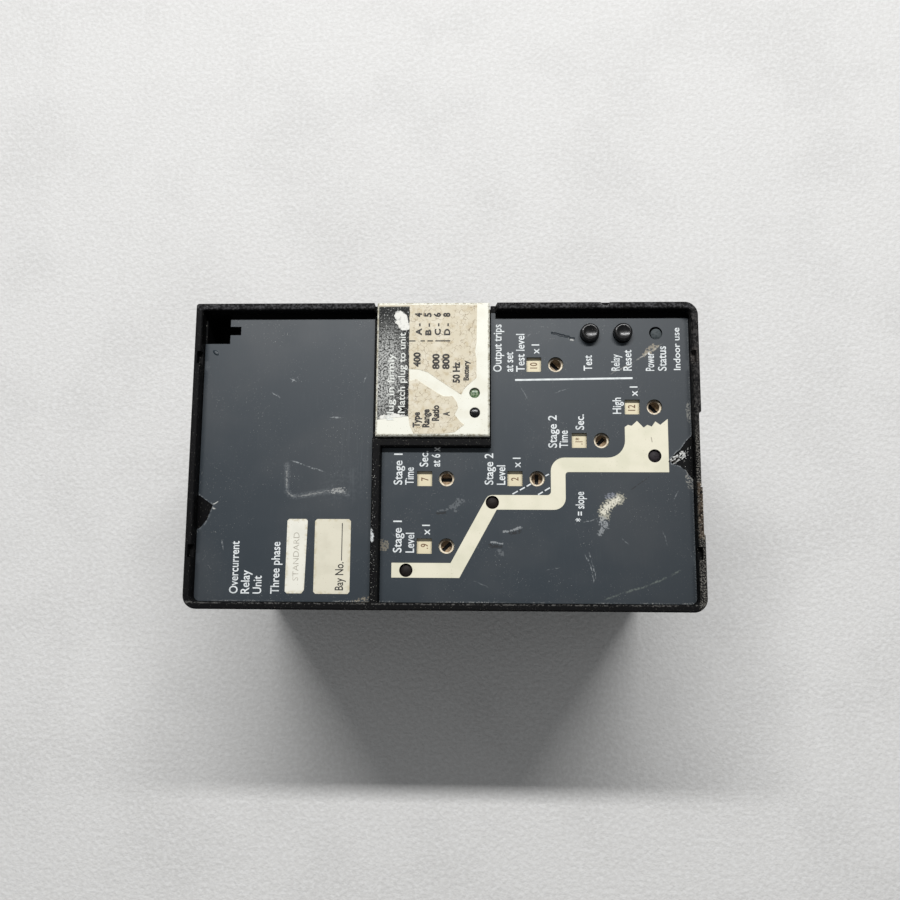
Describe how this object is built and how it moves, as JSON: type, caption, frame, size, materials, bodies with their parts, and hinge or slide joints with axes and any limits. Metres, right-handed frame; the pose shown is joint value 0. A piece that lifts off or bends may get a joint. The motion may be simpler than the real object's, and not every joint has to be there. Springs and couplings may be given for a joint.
{
  "type": "protection relay",
  "caption": "Plug-in electronic protection relay with a recessed setting face, slotted dials behind reading windows, push buttons, lamps and a pull-out rating plug.",
  "frame": {"origin": "middle of the back, on the plane that the relay rests on", "axes": "+X along the long side of the face towards the instantaneous settings, +Y across the face towards the side that the rating plug breaks through, +Z out of the face"},
  "size_m": [0.203, 0.123, 0.1505],
  "materials": {
    "black_moulding": "fine moulded grain",
    "housing_moulding": "fine moulded grain",
    "slate_label": "satin",
    "cream_print": "satin",
    "white_sticker": "paper",
    "cream_sticker": "paper",
    "dial_plastic": "satin",
    "switch_plastic": "satin",
    "button_plastic": "gloss",
    "push_switch_plastic": "satin",
    "dark_lamp": "gloss",
    "status_lamp": "gloss",
    "green_lamp": "gloss",
    "circuit_board": "solder mask",
    "zinc_steel": "zinc",
    "connector_plastic": "satin",
    "chip_plastic": "matt",
    "transformer_core": "varnished",
    "capacitor_sleeve": "gloss",
    "plug_plastic": "satin",
    "plug_base_plastic": "satin",
    "paper_label": "paper",
    "cell_steel": "plated",
    "contact_brass": "plated",
    "insert_brass": "turned"
  },
  "bodies": {
    "case": {"front_bezel": "black_moulding", "rear_housing": "housing_moulding", "name_label": "slate_label", "settings_label": "slate_label", "trip_curve_print": "cream_print", "blank_sticker": "white_sticker", "location_label": "cream_sticker", "rotary_switches": "switch_plastic", "push_switches": "push_switch_plastic", "lamp_long_delay": "dark_lamp", "lamp_short_delay": "dark_lamp", "lamp_instantaneous": "dark_lamp", "lamp_status": "status_lamp", "front_board": "circuit_board", "front_board_screws": "zinc_steel", "logic_board": "circuit_board", "logic_board_screws": "zinc_steel", "main_board": "circuit_board", "main_board_screws": "zinc_steel", "board_link": "connector_plastic", "riser_card": "circuit_board", "riser_sockets": "connector_plastic", "processor_chip": "chip_plastic", "current_transformers": "transformer_core", "storage_capacitors": "capacitor_sleeve", "plug_socket": "connector_plastic", "connector_shell": "connector_plastic", "connector_pins": "contact_brass", "case_screws": "zinc_steel", "mounting_inserts": "insert_brass"},
    "dial_long_delay_time": {"dial_long_delay_time": "dial_plastic"},
    "dial_long_delay_level": {"dial_long_delay_level": "dial_plastic"},
    "dial_short_delay_level": {"dial_short_delay_level": "dial_plastic"},
    "dial_short_delay_time": {"dial_short_delay_time": "dial_plastic"},
    "dial_instantaneous": {"dial_instantaneous": "dial_plastic"},
    "dial_test_level": {"dial_test_level": "dial_plastic"},
    "test_button": {"test_button": "button_plastic"},
    "reset_button": {"reset_button": "button_plastic"},
    "rating_plug": {"plug_case": "plug_plastic", "plug_base": "plug_base_plastic", "plug_label": "paper_label", "plug_board": "circuit_board", "plug_lamp": "green_lamp", "plug_switch": "push_switch_plastic", "battery": "cell_steel", "battery_holder": "connector_plastic", "plug_pins": "contact_brass"},
    "battery_check_button": {"battery_check_button": "button_plastic"}
  },
  "joints": [
    {"name": "dial_long_delay_time_turn", "type": "hinge", "parent": "case", "child": "dial_long_delay_time", "pos_m": [0.0011, -0.0097, 0.1435], "axis": [0, 0, 1], "range_deg": [-225, 90]},
    {"name": "dial_long_delay_level_turn", "type": "hinge", "parent": "case", "child": "dial_long_delay_level", "pos_m": [0.0012, -0.0365, 0.1435], "axis": [0, 0, 1], "range_deg": [-90, 225]},
    {"name": "dial_short_delay_level_turn", "type": "hinge", "parent": "case", "child": "dial_short_delay_level", "pos_m": [0.0371, -0.0096, 0.1435], "axis": [0, 0, 1], "range_deg": [-315, 0]},
    {"name": "dial_short_delay_time_turn", "type": "hinge", "parent": "case", "child": "dial_short_delay_time", "pos_m": [0.0628, 0.0058, 0.1435], "axis": [0, 0, 1], "range_deg": [-90, 225]},
    {"name": "dial_instantaneous_turn", "type": "hinge", "parent": "case", "child": "dial_instantaneous", "pos_m": [0.0841, 0.0194, 0.1435], "axis": [0, 0, 1], "range_deg": [0, 315]},
    {"name": "dial_test_level_turn", "type": "hinge", "parent": "case", "child": "dial_test_level", "pos_m": [0.0449, 0.0369, 0.1435], "axis": [0, 0, 1], "range_deg": [0, 315]},
    {"name": "test_button_press", "type": "slide", "parent": "case", "child": "test_button", "axis": [0, 0, -1], "range_m": [0, 0.001], "stiffness_N_per_m": 500},
    {"name": "reset_button_press", "type": "slide", "parent": "case", "child": "reset_button", "axis": [0, 0, -1], "range_m": [0, 0.001], "stiffness_N_per_m": 500},
    {"name": "rating_plug_pull", "type": "slide", "parent": "case", "child": "rating_plug", "axis": [0, 0, 1], "range_m": [0, 0.045]},
    {"name": "battery_check_press", "type": "slide", "parent": "rating_plug", "child": "battery_check_button", "axis": [0, 0, -1], "range_m": [0, 0.0008], "stiffness_N_per_m": 500}
  ]
}
